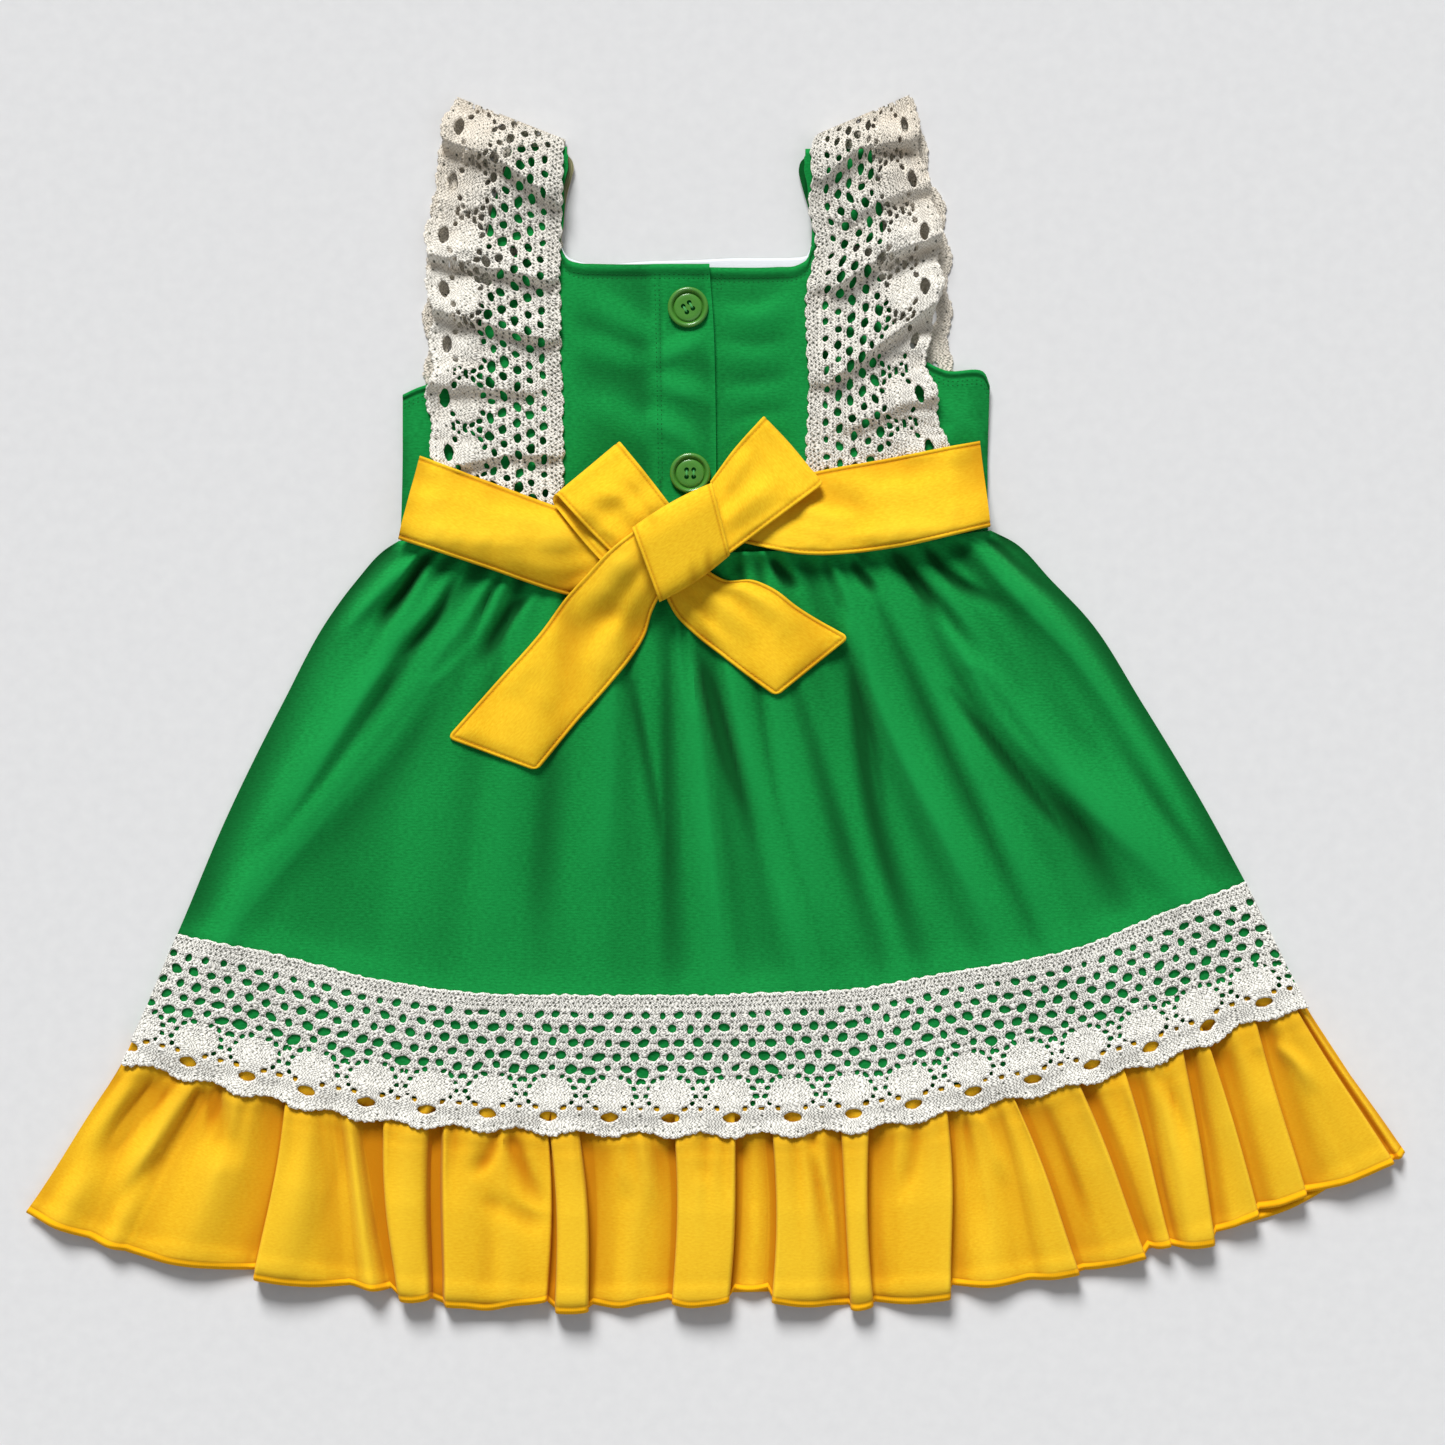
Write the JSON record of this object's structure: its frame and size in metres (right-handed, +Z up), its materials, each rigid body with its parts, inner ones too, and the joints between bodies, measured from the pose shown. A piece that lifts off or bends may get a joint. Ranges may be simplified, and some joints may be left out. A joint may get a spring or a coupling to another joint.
{
  "type": "ruffle dress",
  "caption": "Sleeveless child's dress lying flat with its back up: square neck, lace flutters over wide straps, button placket, tied sash, gathered skirt and ruffled hem.",
  "frame": {"origin": "on the floor under the middle of the dress's outline", "axes": "+X across the dress toward the wearer's right side, +Y toward the shoulders, +Z up, away from the surface that the dress lies on; the dress's back faces +Z"},
  "size_m": [0.664, 0.5862, 0.0267],
  "materials": {
    "green_jersey": "soft cotton jersey with a fine knit and a little nap",
    "yellow_jersey": "soft cotton jersey, deeper yellow where it is overlocked",
    "cream_lace": "matt cotton crochet lace, cream",
    "white_lining": "thin matt white cotton",
    "green_button": "glossy moulded plastic"
  },
  "bodies": {
    "root": {"front_bodice": "green_jersey", "back_bodice_left": "green_jersey", "back_bodice_right": "green_jersey", "strap_left": "green_jersey", "strap_right": "green_jersey", "skirt_front": "green_jersey", "skirt_back": "green_jersey", "front_bodice_lining": "white_lining", "hem_lace_front": "cream_lace", "hem_lace_back": "cream_lace", "shoulder_lace_left_front": "cream_lace", "shoulder_lace_left_back": "cream_lace", "shoulder_lace_right_front": "cream_lace", "shoulder_lace_right_back": "cream_lace", "hem_ruffle_front": "yellow_jersey", "hem_ruffle_back": "yellow_jersey", "sash_left": "yellow_jersey", "sash_right": "yellow_jersey", "bow_loop_left": "yellow_jersey", "bow_loop_right": "yellow_jersey", "bow_knot": "yellow_jersey", "bow_tail_left": "yellow_jersey", "bow_tail_right": "yellow_jersey", "button_top": "green_button", "button_bottom": "green_button"}
  },
  "joints": []
}
